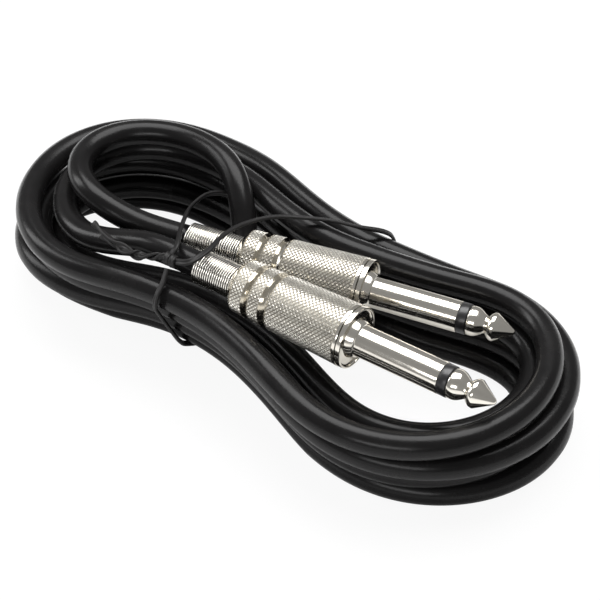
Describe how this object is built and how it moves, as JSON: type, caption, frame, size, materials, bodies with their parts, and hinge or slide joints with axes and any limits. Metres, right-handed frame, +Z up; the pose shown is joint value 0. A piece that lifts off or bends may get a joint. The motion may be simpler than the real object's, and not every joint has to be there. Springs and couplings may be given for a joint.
{
  "type": "instrument cable",
  "caption": "Instrument cable with quarter-inch mono plugs, screw-on knurled barrels and coil-spring strain reliefs, wound into a waisted hank and tied with wire.",
  "frame": {"origin": "centre of the footprint of the hank's bounding box, on the surface that it lies on", "axes": "+X along the hank's length, toward the plug tips; +Y toward the hank's back side; +Z up"},
  "size_m": [0.1296, 0.0644, 0.0333],
  "materials": {
    "cable_jacket": "satin",
    "tie_coating": "satin",
    "plug_metal": "polished",
    "tip_metal": "polished",
    "barrel_metal": "knurled and polished",
    "spring_wire": "polished",
    "black_insulator": "gloss",
    "brown_fibre": "matt",
    "lug_metal": "tinned",
    "core_insulation": "satin",
    "copper": "stranded",
    "white_liner": "matt"
  },
  "bodies": {
    "cable": {"tip_a": "tip_metal", "tip_ring_a": "black_insulator", "insulating_tube_a": "black_insulator", "sleeve_a": "plug_metal", "rear_washer_a": "brown_fibre", "tip_lug_a": "lug_metal", "ground_lug_a": "lug_metal", "cable_core_a": "core_insulation", "shield_tail_a": "copper", "tip_b": "tip_metal", "tip_ring_b": "black_insulator", "insulating_tube_b": "black_insulator", "sleeve_b": "plug_metal", "rear_washer_b": "brown_fibre", "tip_lug_b": "lug_metal", "ground_lug_b": "lug_metal", "cable_core_b": "core_insulation", "shield_tail_b": "copper", "hank": "cable_jacket", "lead_a": "cable_jacket", "lead_b": "cable_jacket", "tie": "tie_coating", "tie_loop": "tie_coating", "tie_twist": "tie_coating", "tie_knot": "tie_coating"},
    "relief_a": {"spring_a": "spring_wire", "liner_a": "white_liner"},
    "barrel_body_a": {"barrel_a": "barrel_metal"},
    "relief_b": {"spring_b": "spring_wire", "liner_b": "white_liner"},
    "barrel_body_b": {"barrel_b": "barrel_metal"}
  },
  "joints": [
    {"name": "spring_slide_a", "type": "slide", "parent": "cable", "child": "relief_a", "axis": [-0.999, -0.0454, 0], "range_m": [0, 0.0048]},
    {"name": "barrel_turn_a", "type": "hinge", "parent": "relief_a", "child": "barrel_body_a", "pos_m": [0.02451, -0.0089, 0.0269], "axis": [-0.999, -0.0454, 0], "range_deg": [0, 1710]},
    {"name": "spring_slide_b", "type": "slide", "parent": "cable", "child": "relief_b", "axis": [-0.9728, -0.2317, 0], "range_m": [0, 0.0048]},
    {"name": "barrel_turn_b", "type": "hinge", "parent": "relief_b", "child": "barrel_body_b", "pos_m": [0.01541, 0.0078, 0.0225], "axis": [-0.9728, -0.2317, 0], "range_deg": [0, 1710]}
  ],
  "couplings": [
    {"joint": "spring_slide_a", "follows": "barrel_turn_a", "m_per_rad": 0.00015915},
    {"joint": "spring_slide_b", "follows": "barrel_turn_b", "m_per_rad": 0.00015915}
  ]
}
